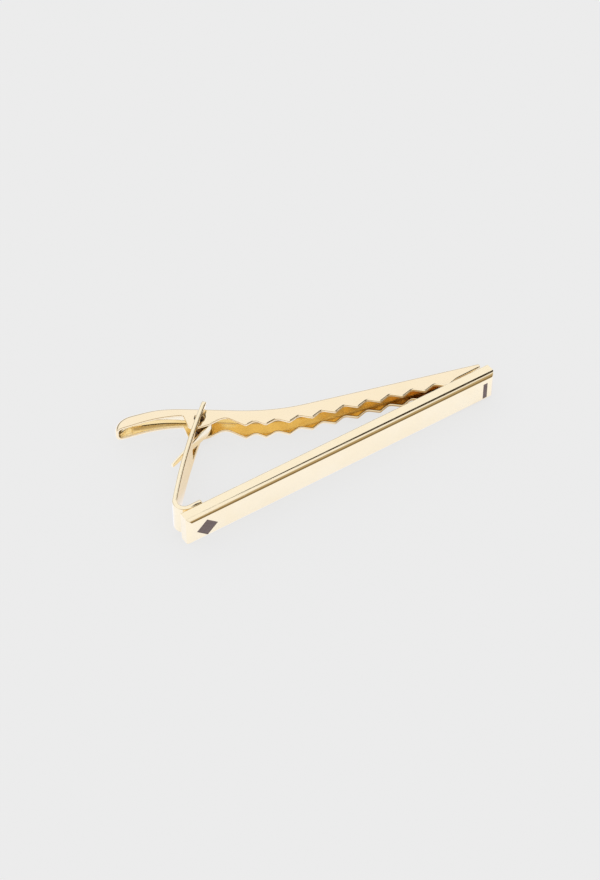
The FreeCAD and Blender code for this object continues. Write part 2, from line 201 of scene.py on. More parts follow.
def glass_enamel(name):
    """Dark glass with a fired skin, a thin gloss and a slightly uneven brown."""
    material = bpy.data.materials.new(name)
    material.use_nodes = True
    tree = material.node_tree
    shader = tree.nodes["Principled BSDF"]
    shader.inputs["Specular IOR Level"].default_value = ENAMEL_SHINE
    shader.inputs["Coat Weight"].default_value = COAT_SHARE
    shader.inputs["Coat Roughness"].default_value = COAT_ROUGH
    even, _ = in_millimetres(tree, 0, (1, 1, 1))
    tone = add_node(tree, "ShaderNodeMix", {"data_type": "RGBA"})
    tone.inputs["A"].default_value = (*ENAMEL_BROWN, 1)
    tone.inputs["B"].default_value = (*ENAMEL_DARK, 1)
    tone_share = spread(tree, cloud(tree, even, ENAMEL_PATCH, ENAMEL_DETAIL), 0, 1)
    tree.links.new(tone_share, tone.inputs["Factor"])
    tree.links.new(tone.outputs["Result"], shader.inputs["Base Color"])
    roughness = spread(tree, cloud(tree, even, MATT_PATCH, MATT_DETAIL), MATT_LEAST, MATT_MOST)
    tree.links.new(roughness, shader.inputs["Roughness"])
    skin = add_node(tree, "ShaderNodeBump", Strength=1.0, Distance=SKIN_DEPTH)
    tree.links.new(cloud(tree, even, SKIN_PATCH, SKIN_DETAIL), skin.inputs["Height"])
    tree.links.new(skin.outputs["Normal"], shader.inputs["Normal"])
    return material


def front_block(node, square, front):
    """A block with the inlay's outline, from this place in front to the pocket's floor."""
    low, high = (Vector(c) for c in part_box(node))
    bpy.ops.object.select_all(action="DESELECT")
    bpy.ops.mesh.primitive_circle_add(
        vertices=4, radius=math.sqrt(0.5) if square else 0.5, fill_type="NGON",
        location=((low.x + high.x) / 2, front, (low.z + high.z) / 2),
        rotation=(math.radians(90), 0, 0),
    )
    block = bpy.context.object
    bpy.ops.object.transform_apply(location=False, rotation=True, scale=False)
    if square:
        block.data.transform(Matrix.Rotation(math.radians(45), 4, "Y"))
    bpy.ops.transform.resize(value=(high.x - low.x, 1, high.z - low.z))
    bpy.ops.object.transform_apply(location=True, rotation=True, scale=True)
    pick(block, "polygons", lambda face: True)
    bpy.ops.mesh.extrude_region_move(TRANSFORM_OT_translate={"value": (0, high.y - front, 0)})
    bpy.ops.mesh.select_all(action="SELECT")
    bpy.ops.mesh.normals_make_consistent(inside=False)
    bpy.ops.object.mode_set(mode="OBJECT")
    return block


def cut_away(piece, tool):
    """Takes the tool's shape out of a piece."""
    bpy.ops.object.select_all(action="DESELECT")
    bpy.context.view_layer.objects.active = piece
    piece.select_set(True)
    cut = piece.modifiers.new("cut", "BOOLEAN")
    cut.operation = "DIFFERENCE"
    cut.solver = "EXACT"
    cut.object = tool
    bpy.ops.object.modifier_apply(modifier="cut")
    bpy.data.objects.remove(tool)


def enamel_fill(name, node, square):
    """Mills a pocket into the bar and fills it with enamel, crowned by two insets."""
    mill = front_block(node, square, bar_low.y - BAR_BEVEL)
    cut_away(bar, mill)
    fill = front_block(node, square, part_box(node)[0][1])
    pick(fill, "polygons", lambda face: face.normal.y < -FACING)
    for rise in (CROWN_RISE * 2, CROWN_RISE):
        bpy.ops.mesh.inset(thickness=CROWN_STEP)
        bpy.ops.transform.translate(value=(0, -rise, 0))
    settle(fill, name, "bar", glass_enamel(name + "_glass"))
    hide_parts(node)


enamel_fill("enamel_lozenge", "left_inlay", False)
enamel_fill("enamel_stripe", "right_inlay", True)


def even_shading(piece):
    """Keeps flat faces flat where they meet a round."""
    bpy.ops.object.select_all(action="DESELECT")
    bpy.context.view_layer.objects.active = piece
    piece.select_set(True)
    even_out = piece.modifiers.new("even_out", "WEIGHTED_NORMAL")
    even_out.keep_sharp = True
    even_out.weight = EVEN_WEIGHT
    bpy.ops.object.modifier_apply(modifier="even_out")


even_shading(bar)

# Clip arm: a strip of spring brass on edge, its foot soldered to the back of the bar, bent round
# at the bar's left end and slit at the other end into two prongs that hold the pivot pin.
MID_HEIGHT = 2.6
PIVOT = Vector((-14.607087, 5.375547, MID_HEIGHT)) * MM
STRIP_THICK = 0.75 * MM
STRIP_ROUND = 0.2 * MM
FOOT_END = Vector((-23.741709, -9.733464, MID_HEIGHT)) * MM
FOOT_LENGTH = 2.0 * MM
BEND_MIDDLE = Vector((-25.741709, -8.308464, MID_HEIGHT)) * MM
BOW_MIDDLE = Vector((69.3372, -87.2443, MID_HEIGHT)) * MM
STRIP_BEND, STRIP_BOW = math.radians(129.7), math.radians(9.3737)
BEND_STEPS, BOW_STEPS, STRIP_MERGE = 28, 24, 0.001 * MM
PRONG_ROUND, PRONG_STEPS = 0.3 * MM, 5
PRONG_TURN = math.radians(42.187)
SLIT_HEIGHT, SLIT_LENGTH, SLIT_BEFORE_PIVOT = 3.5 * MM, 12 * MM, 5.75 * MM
SLIT_ROUND, SLIT_STEPS, SAW_WIDTH = 0.35 * MM, 5, STRIP_THICK * 4
SEAT_RADIUS, SEAT_SPAN, SEAT_SIDES = 0.2 * MM, 4.6 * MM, 32
SHARP_FROM, RIM_STEPS = math.radians(50), 3
STRIP_SHINE, STRIP_LINES, STRIP_RIPPLE = 0.085, 0.0003 * MM, 0.006 * MM
prong_way = Vector((math.cos(PRONG_TURN), math.sin(PRONG_TURN), 0))
bpy.ops.object.select_all(action="DESELECT")
bpy.ops.mesh.primitive_plane_add(
    size=bar_half.z * 2, location=FOOT_END, rotation=(0, math.radians(90), 0)
)
arm = bpy.context.object
bpy.ops.object.transform_apply(location=True, rotation=True, scale=True)
pick(arm, "vertices", lambda corner: corner.co.y > FOOT_END.y)
bpy.ops.mesh.delete(type="VERT")
bpy.ops.mesh.select_all(action="SELECT")
bpy.ops.transform.translate(value=(0, bar_half.z, 0))
bpy.ops.mesh.extrude_region_move(TRANSFORM_OT_translate={"value": (-FOOT_LENGTH, 0, 0)})
bpy.ops.mesh.spin(steps=BEND_STEPS, angle=STRIP_BEND, center=BEND_MIDDLE, axis=(0, 0, 1))
bpy.ops.mesh.spin(steps=BOW_STEPS, angle=STRIP_BOW, center=BOW_MIDDLE, axis=(0, 0, 1))
bpy.ops.mesh.select_all(action="SELECT")
bpy.ops.mesh.remove_doubles(threshold=STRIP_MERGE)
bpy.ops.mesh.normals_make_consistent(inside=False)
bpy.ops.object.mode_set(mode="OBJECT")
strip = arm.modifiers.new("strip", "SOLIDIFY")
strip.thickness = STRIP_THICK
strip.offset = 0
bpy.ops.object.modifier_apply(modifier="strip")
prong_end = max((point.co - PIVOT).dot(prong_way) for point in arm.data.vertices)


def level_at_end(edge):
    """Whether an edge lies level across the strip's free end."""
    ends = [arm.data.vertices[i].co for i in edge.vertices]
    at_end = all((e - PIVOT).dot(prong_way) > prong_end - PRONG_ROUND / 3 for e in ends)
    return at_end and abs(ends[0].z - ends[1].z) < PRONG_ROUND / 10


pick(arm, "edges", level_at_end)
bpy.ops.mesh.bevel(offset=PRONG_ROUND, segments=PRONG_STEPS, affect="EDGES")
bpy.ops.object.mode_set(mode="OBJECT")
bpy.ops.object.select_all(action="DESELECT")
slit_middle = PIVOT + prong_way * (SLIT_LENGTH / 2 - SLIT_BEFORE_PIVOT)
bpy.ops.mesh.primitive_cube_add(size=1, location=slit_middle)
saw = bpy.context.object
saw.scale = (SLIT_LENGTH, SAW_WIDTH, SLIT_HEIGHT)
saw.rotation_euler = (0, 0, PRONG_TURN)
bpy.ops.object.transform_apply(location=True, rotation=True, scale=True)


def across_slit_end(edge):
    """Whether an edge of the saw lies level at the closed end of the slit."""
    ends = [saw.data.vertices[i].co for i in edge.vertices]
    at_end = all((e - PIVOT).dot(prong_way) < 0 for e in ends)
    return at_end and abs(ends[0].z - ends[1].z) < SLIT_ROUND / 10


pick(saw, "edges", across_slit_end)
bpy.ops.mesh.bevel(offset=SLIT_ROUND, segments=SLIT_STEPS, affect="EDGES")
bpy.ops.object.mode_set(mode="OBJECT")
cut_away(arm, saw)


def round_edges(piece, width):
    """Rounds every sharp edge of a piece."""
    bpy.ops.object.select_all(action="DESELECT")
    bpy.context.view_layer.objects.active = piece
    piece.select_set(True)
    rim = piece.modifiers.new("rim", "BEVEL")
    rim.limit_method = "ANGLE"
    rim.angle_limit = SHARP_FROM
    rim.width = width
    rim.segments = RIM_STEPS
    rim.use_clamp_overlap = False
    bpy.ops.object.modifier_apply(modifier="rim")


round_edges(arm, STRIP_ROUND)
bpy.ops.object.select_all(action="DESELECT")
bpy.ops.mesh.primitive_cylinder_add(
    vertices=SEAT_SIDES, radius=SEAT_RADIUS, depth=SEAT_SPAN, location=PIVOT
)
cut_away(arm, bpy.context.object)
strip_gold = polished_metal(
    "gold_strip", PRONG_TURN, PALE_GOLD, WARM_GOLD, STRIP_SHINE, STRIP_LINES, STRIP_RIPPLE
)
settle(arm, "bent_strip", "bar", strip_gold)
even_shading(arm)
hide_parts("clip_arm")

# Pivot pin: a turned pin of browned steel through the jaw's two ears, with a thin tenon at each end
# that is pressed into a prong of the arm. Its ends are dished, and its shoulders have a small round.
PIN_LOW, PIN_HIGH = 1.3055 * MM, 3.8945 * MM
TENON_RADIUS = 0.2 * MM
LAND = 0.12 * MM
DIMPLE = 0.3 * MM
SHOULDER, SHOULDER_STEPS, SHOULDER_FROM = 0.06 * MM, 3, 0.95
PIN_SIDES = 64
PIN_BROWN = (0.16, 0.085, 0.035)
PIN_DARK = (0.09, 0.045, 0.02)
PIN_SHINE, PIN_LINES, PIN_RIPPLE = 0.3, 0.001 * MM, 0.002 * MM
pin_low, pin_high = (Vector(c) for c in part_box("pivot_pin"))
pin_radius = (pin_high.x - pin_low.x) / 2
pin_axis = Vector(((pin_low.x + pin_high.x) / 2, (pin_low.y + pin_high.y) / 2, 0))
bpy.ops.object.select_all(action="DESELECT")
bpy.ops.mesh.primitive_cylinder_add(
    vertices=PIN_SIDES, radius=pin_radius, depth=PIN_HIGH - PIN_LOW,
    location=(pin_axis.x, pin_axis.y, (PIN_LOW + PIN_HIGH) / 2),
)
pin = bpy.context.object
bpy.ops.object.transform_apply(location=True, rotation=True, scale=True)
for way, end, shoulder in ((1, pin_high.z, PIN_HIGH), (-1, pin_low.z, PIN_LOW)):
    pick(pin, "polygons", lambda face: face.normal.z * way > FACING)
    bpy.ops.mesh.inset(thickness=LAND)
    bpy.ops.mesh.inset(thickness=pin_radius - LAND - TENON_RADIUS)
    bpy.ops.transform.translate(value=(0, 0, -way * DIMPLE))
    tenon = (0, 0, end - shoulder + way * DIMPLE)
    bpy.ops.mesh.extrude_region_move(TRANSFORM_OT_translate={"value": tenon})


def on_shoulder(edge):
    """Whether an edge runs round the pin's outer rim."""
    ends = [pin.data.vertices[i].co for i in edge.vertices]
    return abs(ends[0].z - ends[1].z) < SHOULDER / 10 and all(
        (e - pin_axis).xy.length > pin_radius * SHOULDER_FROM for e in ends
    )


pick(pin, "edges", on_shoulder)
bpy.ops.mesh.bevel(offset=SHOULDER, segments=SHOULDER_STEPS, affect="EDGES")
pin_steel = polished_metal("pin_steel", 0, PIN_BROWN, PIN_DARK, PIN_SHINE, PIN_LINES, PIN_RIPPLE)
settle(pin, "turned_pin", "bar", pin_steel)
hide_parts("pivot_pin")

# Jaw: one brass stamping drawn to a channel, with teeth along its two wall edges, ears for the pin
# and a tail that ends in a round cup. Its cut edges are tumbled round before the gold plate goes on.
# Its sizes are in millimetres from the pivot, with X towards the toe and Y away from the bar.
JAW_TURN = math.radians(-15.0311)
SHEET = 0.45
RIM_ROUND = 0.16
FOLD, CUP_FOLD = 0.56, 0.95
FOLD_STEPS, FOLD_OF_HALF, FOLD_OF_WALL = 7, 0.9, 0.6
RIM_LAND, WALL_LAND = 0.3, 0.2
SPINE_DROP = 1.8
NECK_START, NECK_RADIUS, NECK_ANGLE, NECK_RUN = 16.0, 28.75, math.radians(21.45), 7.6
TAIL_RADIUS, TAIL_WALL, CUP_DEPTH = 22.0, 1.6, 2.35
CUP_LENGTH, CUP_START, CUP_TURN, CUP_STEPS, CUP_LEAD = 3.0, 0.2, math.radians(94), 16, 4.0
CUP_MERGE, CUP_FLAT = 0.01, 0.999
TOE_REACH, TOE_WALL = 44.1, 0.95
CREST_REACH, CREST_HALF, TAIL_RISE, TOE_FALL, CREST_SOFT = 6.0, 1.65, 0.0192, 0.017, 4.5
FIRST_TOOTH, SECOND_TOOTH, TOOTH_PITCH, PITCHED_TEETH = 5.95, 8.95, 3.6, 9
TOOTH_WALL, TOOTH_DEPTH = 3.32, 0.85
TIP_ROUND, VALLEY_ROUND = 0.35, 0.95
TIP_TRIM, VALLEY_TRIM = 0.04, 0.10
TAIL_END, EAR_START, EAR_START_ROUND = -2.6, -2.1, 0.3
EAR = (((-2.1, -1.85), 1.1), ((1.1, -1.62), 0.9), ((3.75, -0.85), 1.6))
RAMP = (((39.55, -4.12), 2.2), ((TOE_REACH, -SPINE_DROP - TOE_WALL), 0))
BORE_RADIUS, BORE_SIDES, DRILL_LENGTH = 0.7, 64, 6.6
LONGEST_STEP, LEAST_TURNS, TURNS_PER_RADIAN = 0.6, 3, 6
neck_centre = Vector((NECK_START, NECK_RADIUS - SPINE_DROP))
neck_way = Vector((-math.cos(NECK_ANGLE), math.sin(NECK_ANGLE)))
neck_side = Vector((math.sin(NECK_ANGLE), math.cos(NECK_ANGLE)))
neck_end = neck_centre - neck_side * NECK_RADIUS
tail_centre = neck_end + neck_way * NECK_RUN - neck_side * TAIL_RADIUS
cup_middle = tail_centre + Vector((CUP_START, TAIL_RADIUS - CUP_DEPTH))


def on_back(point):
    """The place on the jaw's back that is nearest to a point on its edge."""
    if point.x >= NECK_START:
        return Vector((point.x, -SPINE_DROP))
    past_neck = (point - neck_end).dot(neck_way)
    if past_neck < 0:
        return neck_centre + (point - neck_centre).normalized() * NECK_RADIUS
    if past_neck < NECK_RUN:
        return neck_end + neck_way * past_neck
    return tail_centre + (point - tail_centre).normalized() * TAIL_RADIUS


def half_height(reach):
    """Half the channel's height, with a soft crest between the tail's rise and the toe's fall."""
    way = reach - CREST_REACH
    if way < -CREST_SOFT:
        return CREST_HALF + TAIL_RISE * way
    if way > CREST_SOFT:
        return CREST_HALF - TOE_FALL * way
    into = way + CREST_SOFT
    bend = (TAIL_RISE + TOE_FALL) / (4 * CREST_SOFT)
    return CREST_HALF - TAIL_RISE * CREST_SOFT + TAIL_RISE * into - bend * into ** 2


def tooth_point(reach, wall):
    """A point of the tooth line, which follows the neck's curve and then runs straight."""
    if reach >= NECK_START:
        return Vector((reach, -SPINE_DROP - wall))
    angle = (NECK_START - reach) / (NECK_RADIUS + TOOTH_WALL)
    return neck_centre - Vector((math.sin(angle), math.cos(angle))) * (NECK_RADIUS + wall)


def tail_point(reach):
    """A point of the tail's edge, whose wall deepens towards the cup."""
    share = (reach - TAIL_END) / (cup_middle.x - TAIL_END)
    radius = TAIL_RADIUS - TAIL_WALL - (CUP_DEPTH - TAIL_WALL) * share
    angle = math.asin((reach - tail_centre.x) / radius)
    return tail_centre + Vector((math.sin(angle), math.cos(angle))) * radius


def rounded(corners):
    """Straight runs through the corners, each corner rounded to its own radius, in short steps."""
    line = [corners[0][0]]
    for (before, _), (corner, radius), (after, _) in zip(corners, corners[1:], corners[2:]):
        back, on = (before - corner).normalized(), (after - corner).normalized()
        half = back.angle(on) / 2
        centre = corner + (back + on).normalized() * (radius / math.sin(half))
        start, end = (corner + way * (radius / math.tan(half)) - centre for way in (back, on))
        steps = max(LEAST_TURNS, round(start.angle(end) * TURNS_PER_RADIAN))
        for step in range(steps + 1):
            line.append(centre + start.slerp(end, step / steps) * radius)
    line.append(corners[-1][0])
    fine = []
    for here, there in zip(line, line[1:]):
        parts = max(1, math.ceil((there - here).length / LONGEST_STEP))
        fine += [here.lerp(there, part / parts) for part in range(parts)]
    return fine + [line[-1]]


corners = [(tail_point(TAIL_END), 0), (tail_point(EAR_START), EAR_START_ROUND)]
corners += [(Vector(place), radius) for place, radius in EAR]
teeth = [FIRST_TOOTH] + [SECOND_TOOTH + TOOTH_PITCH * step for step in range(PITCHED_TEETH)]
for here, after in zip(teeth, teeth[1:] + [None]):
    corners.append((tooth_point(here, TOOTH_WALL + TIP_TRIM), TIP_ROUND))
    if after:
        valley = TOOTH_WALL - TOOTH_DEPTH - VALLEY_TRIM
        corners.append((tooth_point((here + after) / 2, valley), VALLEY_ROUND))
corners += [(Vector(place), radius) for place, radius in RAMP]
tail_way = TAIL_END - cup_middle.x
tail_steps = math.ceil(tail_way / LONGEST_STEP)
edge_line = [tail_point(cup_middle.x + tail_way * step / tail_steps) for step in range(tail_steps)]
edge_line += rounded(corners)

sections = []
for step in range(CUP_STEPS):
    turn = CUP_TURN * (1 - step / CUP_STEPS)
    round_back = cup_middle + Vector((-math.sin(turn) * CUP_LENGTH, math.cos(turn) * CUP_DEPTH))
    sections.append((round_back, cup_middle, CUP_FOLD))
for edge in edge_line:
    near_cup = max(0, 1 - (edge.x - cup_middle.x) / CUP_LEAD)
    near_cup = near_cup ** 2 * (3 - 2 * near_cup)
    sections.append((on_back(edge), edge, FOLD + (CUP_FOLD - FOLD) * near_cup))
half_section = [("edge", 0), ("rim", 0), ("wall", 0)]
half_section += [("fold", math.radians(90 * step / FOLD_STEPS)) for step in range(FOLD_STEPS + 1)]
columns = [(kind, angle, 1) for kind, angle in half_section] + [("spine", 0, 0)]
columns += [(kind, angle, -1) for kind, angle in reversed(half_section)]


def jaw_place(row, column):
    """Where a point of the sheet's outer face goes, by its section and its place across it."""
    back, edge, fold = sections[row]
    kind, angle, side = columns[column]
    wall = (edge - back).length
    fold = min(fold, half_height(back.x) * FOLD_OF_HALF, wall * FOLD_OF_WALL)
    depth = {
        "edge": wall, "rim": wall - min(RIM_LAND, (wall - fold) / 2),
        "wall": fold + (wall - fold) * WALL_LAND, "fold": fold * (1 - math.sin(angle)), "spine": 0,
    }[kind]
    place = back + (edge - back).normalized() * depth
    drop = fold * (1 - math.cos(angle)) if kind == "fold" else 0
    rise = side * (half_height(place.x) - drop)
    flat = Matrix.Rotation(JAW_TURN, 3, "Z") @ Vector((place.x, place.y, rise))
    return PIVOT + flat * MM


JAW_GOLD = (0.955, 0.775, 0.49)
JAW_WARM_GOLD = (0.945, 0.76, 0.47)
# The inner faces get a warmer copy of the jaw's gold: painted reflection of gold light bouncing inside
# the channel. Their rougher shine is their own.
INSIDE_BOUNCE_GOLD = (0.95, 0.78, 0.44)
INSIDE_BOUNCE_WARM_GOLD = (0.94, 0.765, 0.425)
# Painted shade: the darker gold deep in the narrow toe, where little light gets in.
TOE_SHADE_GOLD = (0.66, 0.44, 0.21)
TOE_SHADE_FROM, TOE_SHADE_TO = 8.0, 26.0
# Painted light: the paler gold in the tail and its cup stands in for a highlight.
TAIL_LIGHT_GOLD = (0.995, 0.88, 0.63)
TAIL_LIGHT_FROM, TAIL_LIGHT_TO = -15.0, -19.0
INSIDE_SHINE = 0.13
jaw_gold = polished_metal(
    "gold_jaw", JAW_TURN, JAW_GOLD, JAW_WARM_GOLD, STRIP_SHINE, STRIP_LINES, STRIP_RIPPLE
)
inside_painted_gold = polished_metal(
    "gold_jaw_inside_painted_light_and_shade", JAW_TURN, INSIDE_BOUNCE_GOLD, INSIDE_BOUNCE_WARM_GOLD, INSIDE_SHINE, STRIP_LINES, STRIP_RIPPLE
)


def paint_inside_light_and_shade(material):
    """Painted shade darkens the inside towards the channel's narrow toe, and painted light brightens it
    in the tail.
    """
    tree = material.node_tree
    base = tree.nodes["Principled BSDF"].inputs["Base Color"]
    even, _ = in_millimetres(tree, 0, (1, 1, 1))
    along = add_node(tree, "ShaderNodeSeparateXYZ")
    tree.links.new(even, along.inputs["Vector"])
    for colour, start, end in (
        (TOE_SHADE_GOLD, TOE_SHADE_FROM, TOE_SHADE_TO), (TAIL_LIGHT_GOLD, TAIL_LIGHT_FROM, TAIL_LIGHT_TO),
    ):
        tone = add_node(tree, "ShaderNodeMix", {"data_type": "RGBA"})
        tree.links.new(spread(tree, along.outputs["X"], 0, 1, start, end), tone.inputs["Factor"])
        tree.links.new(base.links[0].from_socket, tone.inputs["A"])
        tone.inputs["B"].default_value = (*colour, 1)
        tree.links.new(tone.outputs["Result"], base)


paint_inside_light_and_shade(inside_painted_gold)
bpy.ops.object.select_all(action="DESELECT")
last_row, last_column = len(sections) - 1, len(columns) - 1
bpy.ops.mesh.primitive_grid_add(x_subdivisions=last_row, y_subdivisions=last_column, size=1)
jaw = bpy.context.object
for point in jaw.data.vertices:
    row, column = round((point.co.x + 0.5) * last_row), round((point.co.y + 0.5) * last_column)
    point.co = jaw_place(row, column)
pick(jaw, "polygons", lambda face: True)
bpy.ops.mesh.remove_doubles(threshold=CUP_MERGE * MM)


def on_cup_wall(face):
    """Whether a face is part of one of the cup's two flat walls."""
    own = Matrix.Rotation(-JAW_TURN, 3, "Z") @ (face.center - PIVOT) / MM
    return own.x < cup_middle.x and abs(face.normal.z) > CUP_FLAT


pick(jaw, "polygons", on_cup_wall)
bpy.ops.mesh.dissolve_faces()
bpy.ops.object.mode_set(mode="OBJECT")
jaw.data.materials.append(jaw_gold)
jaw.data.materials.append(inside_painted_gold)
sheet_wall = jaw.modifiers.new("sheet_wall", "SOLIDIFY")
sheet_wall.thickness = SHEET * MM
sheet_wall.offset = -1
sheet_wall.use_even_offset = True
sheet_wall.material_offset = 1
bpy.ops.object.modifier_apply(modifier="sheet_wall")
bpy.ops.object.select_all(action="DESELECT")
bpy.ops.mesh.primitive_cylinder_add(
    vertices=BORE_SIDES, radius=BORE_RADIUS * MM, depth=DRILL_LENGTH * MM, location=PIVOT
)
cut_away(jaw, bpy.context.object)
round_edges(jaw, RIM_ROUND * MM)
settle(jaw, "toothed_jaw", "jaw", None)
even_shading(jaw)
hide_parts("jaw")

# Spring: a hairpin of hard gold plated leaf round the pin. One leg bears on the tail inside the
# jaw, and the other passes through the arm's slit and ends in the open.
LEAF_THICK = 0.35 * MM
LEAF_ROUND = 0.07 * MM
LEAF_WIDTH, LEG_TIP_WIDTH, TAIL_TIP_WIDTH = 1.96 * MM, 0.7 * MM, 1.58 * MM
LEG_END = Vector((-22.4204, 0.6007, MID_HEIGHT)) * MM
BEND_START = Vector((-13.62, 4.044, MID_HEIGHT)) * MM
BEND_END = Vector((-13.3081, 6.0989, MID_HEIGHT)) * MM
BEND_CENTRE = Vector((-14.0573, 5.1615, MID_HEIGHT)) * MM
TAIL_START = Vector((-15.1762, 7.5919, MID_HEIGHT)) * MM
TAIL_CENTRE = Vector((-28.4583, -9.0278, MID_HEIGHT)) * MM
BEND_ANGLE, TAIL_ANGLE = math.radians(-120), math.radians(-23)
LEG_STEPS, HAIRPIN_STEPS, RUN_STEPS, TAIL_STEPS = 8, 20, 2, 12
SPRING_GOLD = (0.96, 0.825, 0.565)
SPRING_WARM_GOLD = (0.955, 0.81, 0.54)
SPRING_SHINE, SPRING_LINES, SPRING_RIPPLE = 0.1, 0.0005 * MM, 0.004 * MM


def draw_leaf(way, steps, narrowing):
    """Extrudes the leaf's end along a straight run, changing its width evenly."""
    width = 1.0
    for step in range(1, steps + 1):
        new_width = 1 + (narrowing - 1) * step / steps
        bpy.ops.mesh.extrude_region_move(TRANSFORM_OT_translate={"value": way / steps})
        bpy.ops.transform.resize(value=(1, 1, new_width / width))
        width = new_width


bpy.ops.object.select_all(action="DESELECT")
bpy.ops.mesh.primitive_plane_add(
    size=LEG_TIP_WIDTH, location=LEG_END, rotation=(0, math.radians(90), 0)
)
spring = bpy.context.object
bpy.ops.object.transform_apply(location=True, rotation=True, scale=True)
pick(spring, "vertices", lambda corner: corner.co.y > LEG_END.y)
bpy.ops.mesh.delete(type="VERT")
bpy.ops.mesh.select_all(action="SELECT")
bpy.ops.transform.translate(value=(0, LEG_TIP_WIDTH / 2, 0))
draw_leaf(BEND_START - LEG_END, LEG_STEPS, LEAF_WIDTH / LEG_TIP_WIDTH)
bpy.ops.mesh.spin(steps=HAIRPIN_STEPS, angle=BEND_ANGLE, center=BEND_CENTRE, axis=(0, 0, 1))
draw_leaf(TAIL_START - BEND_END, RUN_STEPS, 1)
for step in range(TAIL_STEPS):
    bpy.ops.mesh.spin(steps=1, angle=TAIL_ANGLE / TAIL_STEPS, center=TAIL_CENTRE, axis=(0, 0, 1))
    here, there = (
        LEAF_WIDTH + (TAIL_TIP_WIDTH - LEAF_WIDTH) * done / TAIL_STEPS for done in (step, step + 1)
    )
    bpy.ops.transform.resize(value=(1, 1, there / here))
bpy.ops.mesh.select_all(action="SELECT")
bpy.ops.mesh.remove_doubles(threshold=STRIP_MERGE)
bpy.ops.mesh.normals_make_consistent(inside=False)
bpy.ops.object.mode_set(mode="OBJECT")
leaf = spring.modifiers.new("leaf", "SOLIDIFY")
leaf.thickness = LEAF_THICK
leaf.offset = 0
bpy.ops.object.modifier_apply(modifier="leaf")
round_edges(spring, LEAF_ROUND)
spring_gold = polished_metal(
    "gold_spring", PRONG_TURN, SPRING_GOLD, SPRING_WARM_GOLD, SPRING_SHINE, SPRING_LINES, SPRING_RIPPLE
)
settle(spring, "hairpin_spring", None, spring_gold)
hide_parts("spring")
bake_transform(spring)

# Floor: a plain pale grey sheet. It looks the same to the camera far and near and keeps a faint
# shadow. In the gold it shows painted light, a bright cool pool that fades to painted shade far off.
FLOOR_SIZE, FLOOR_DROP = 6, 0.02 * MM
FLOOR_GREY = 0.838
# Painted shade: the far sheet as the gold sees it.
FAR_SHADE_IN_GOLD = (0.40, 0.36, 0.28)
# Each pool painted on the sheet for the gold: its middle and reach in millimetres, its turn in degrees,
# its colour.
LIGHT_AND_SHADE_POOLS = (
    # painted light: the bright cool pool round the clip
    ((0.0, 0.0), (95.0, 75.0), 0, (1.15, 1.27, 1.66)),
    # painted shade: in the throat between the jaw's toe and the bar
    ((17.0, -7.5), (18.0, 5.0), -9, (0.45, 0.36, 0.26)),
    # painted shade: beside the arm
    ((-18.5, -1.5), (13.0, 3.4), 51, (0.95, 0.86, 0.75)),
)
POOL_SOFT = 0.5
SHADOW_SHARE = 0.14
SHADOW_IN_GOLD = 0.3
bpy.ops.object.select_all(action="DESELECT")
bpy.ops.mesh.primitive_plane_add(size=FLOOR_SIZE, location=(0, 0, -FLOOR_DROP))
floor = bpy.context.object
floor.name = "floor"
sheet = bpy.data.materials.new("pale_sheet")
sheet.use_nodes = True
tree = sheet.node_tree
matt = tree.nodes["Principled BSDF"]
matt.inputs["Base Color"].default_value = (FLOOR_GREY, FLOOR_GREY, FLOOR_GREY, 1)
matt.inputs["Roughness"].default_value = 1
matt.inputs["Specular IOR Level"].default_value = 0
seen = add_node(tree, "ShaderNodeEmission", Color=(1, 1, 1, 1), Strength=FLOOR_GREY)
floor_place, _ = in_millimetres(tree, 0, (1, 1, 1))
mirrored = add_node(tree, "ShaderNodeEmission", Color=(*FAR_SHADE_IN_GOLD, 1), Strength=1.0)
for centre, reach, turn, colour in LIGHT_AND_SHADE_POOLS:
    centred = add_node(tree, "ShaderNodeMapping", {"vector_type": "TEXTURE"})
    centred.inputs["Location"].default_value = (*centre, 0)
    centred.inputs["Rotation"].default_value = (0, 0, math.radians(turn))
    centred.inputs["Scale"].default_value = (*reach, 1)
    tree.links.new(floor_place, centred.inputs["Vector"])
    pool = add_node(tree, "ShaderNodeTexGradient", {"gradient_type": "SPHERICAL"})
    tree.links.new(centred.outputs["Vector"], pool.inputs["Vector"])
    tone = add_node(tree, "ShaderNodeMix", {"data_type": "RGBA"})
    tree.links.new(spread(tree, pool.outputs["Fac"], 0, 1, 0, POOL_SOFT), tone.inputs["Factor"])
    tone.inputs["A"].default_value = (*FAR_SHADE_IN_GOLD, 1)
    tone.inputs["B"].default_value = (*colour, 1)
    if mirrored.inputs["Color"].is_linked:
        tree.links.new(mirrored.inputs["Color"].links[0].from_socket, tone.inputs["A"])
    tree.links.new(tone.outputs["Result"], mirrored.inputs["Color"])
ray = add_node(tree, "ShaderNodeLightPath")
faint = add_node(tree, "ShaderNodeMixShader", Fac=SHADOW_SHARE)
tree.links.new(seen.outputs["Emission"], faint.inputs[1])
tree.links.new(matt.outputs["BSDF"], faint.inputs[2])
in_gold = add_node(tree, "ShaderNodeMixShader", Fac=SHADOW_IN_GOLD)
tree.links.new(mirrored.outputs["Emission"], in_gold.inputs[1])
tree.links.new(matt.outputs["BSDF"], in_gold.inputs[2])
to_camera = add_node(tree, "ShaderNodeMixShader")
tree.links.new(ray.outputs["Is Camera Ray"], to_camera.inputs["Fac"])
tree.links.new(matt.outputs["BSDF"], to_camera.inputs[1])
tree.links.new(faint.outputs["Shader"], to_camera.inputs[2])
to_gold = add_node(tree, "ShaderNodeMixShader")
tree.links.new(ray.outputs["Is Glossy Ray"], to_gold.inputs["Fac"])
tree.links.new(to_camera.outputs["Shader"], to_gold.inputs[1])
tree.links.new(in_gold.outputs["Shader"], to_gold.inputs[2])
tree.links.new(to_gold.outputs["Shader"], tree.nodes["Material Output"].inputs["Surface"])
floor.data.materials.append(sheet)

